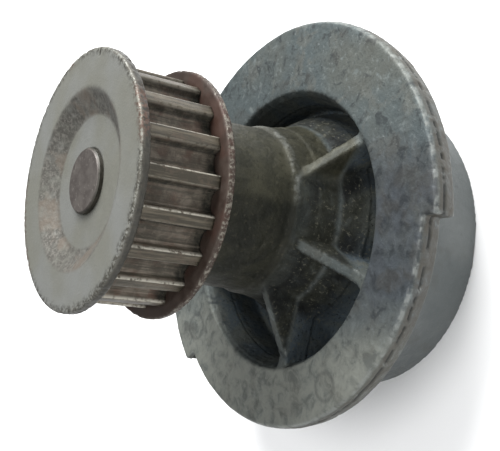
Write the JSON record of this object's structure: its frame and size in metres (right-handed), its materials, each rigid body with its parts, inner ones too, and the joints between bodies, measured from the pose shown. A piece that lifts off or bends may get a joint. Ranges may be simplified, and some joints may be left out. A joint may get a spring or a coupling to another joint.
{
  "type": "engine coolant pump with toothed belt pulley",
  "caption": "Automotive coolant pump: a toothed timing belt pulley on a sealed bearing shaft, set off-centre in a ribbed die-cast body with a round flange and spigot.",
  "frame": {"origin": "axis of the machined spigot, at its rear rim, on which the pump stands", "axes": "+Z along the shaft from the spigot towards the pulley; +X from the spigot's axis towards the shaft's axis, which lies 3.6 mm away; +Y follows by the right-hand rule, towards the coolant outlet"},
  "size_m": [0.1106, 0.1145, 0.0933],
  "materials": {
    "die_cast_body": "die-cast, oxidised and stained, spigot machined",
    "pulley_steel": "sintered steel, worn bright on the lands, rusted in the grooves",
    "flange_steel": "pressed steel, evenly rusted, edge worn bright",
    "shaft_steel": "ground, front end lightly rusted",
    "bearing_steel": "ground",
    "ball_steel": "polished",
    "cage_nylon": "glass-filled nylon",
    "seal_rubber": "moulded rubber, slight sheen",
    "impeller_plastic": "glass-filled plastic",
    "bush_steel": "turned",
    "seal_brass": "pressed brass, dulled",
    "spring_steel": "drawn stainless wire",
    "carbon": "lapped carbon graphite, satin",
    "seat_ceramic": "lapped alumina ceramic"
  },
  "bodies": {
    "housing": {"pump_body": "die_cast_body", "body_o_ring": "seal_rubber", "bearing_outer_ring": "bearing_steel", "bearing_seal_front": "seal_rubber", "bearing_seal_rear": "seal_rubber", "seal_cup": "seal_brass", "seal_spring": "spring_steel", "seal_bellows": "seal_rubber"},
    "rotor": {"shaft": "shaft_steel", "pulley": "pulley_steel", "pulley_rear_flange": "flange_steel", "impeller": "impeller_plastic", "impeller_bush": "bush_steel", "seat_ring": "seat_ceramic", "seat_boot": "seal_rubber"},
    "front_ball_set": {"cage_front": "cage_nylon", "balls_front": "ball_steel"},
    "rear_ball_set": {"cage_rear": "cage_nylon", "balls_rear": "ball_steel"},
    "seal_face": {"carbon_ring": "carbon", "carbon_band": "seal_brass"}
  },
  "joints": [
    {"name": "shaft_spin", "type": "hinge", "parent": "housing", "child": "rotor", "pos_m": [0.0036, 0, 0.0464], "axis": [0, 0, 1], "continuous": true},
    {"name": "front_balls_orbit", "type": "hinge", "parent": "housing", "child": "front_ball_set", "pos_m": [0.0036, 0, 0.057], "axis": [0, 0, 1], "continuous": true},
    {"name": "rear_balls_orbit", "type": "hinge", "parent": "housing", "child": "rear_ball_set", "pos_m": [0.0036, 0, 0.0357], "axis": [0, 0, 1], "continuous": true},
    {"name": "seal_face_float", "type": "slide", "parent": "housing", "child": "seal_face", "axis": [0, 0, 1], "range_m": [0, 0.0008], "stiffness_N_per_m": 5000, "springref_m": -0.003, "deforming": ["seal_spring", "seal_bellows"]}
  ],
  "couplings": [
    {"joint": "front_balls_orbit", "follows": "shaft_spin", "ratio": 0.3585},
    {"joint": "rear_balls_orbit", "follows": "shaft_spin", "ratio": 0.3585}
  ]
}
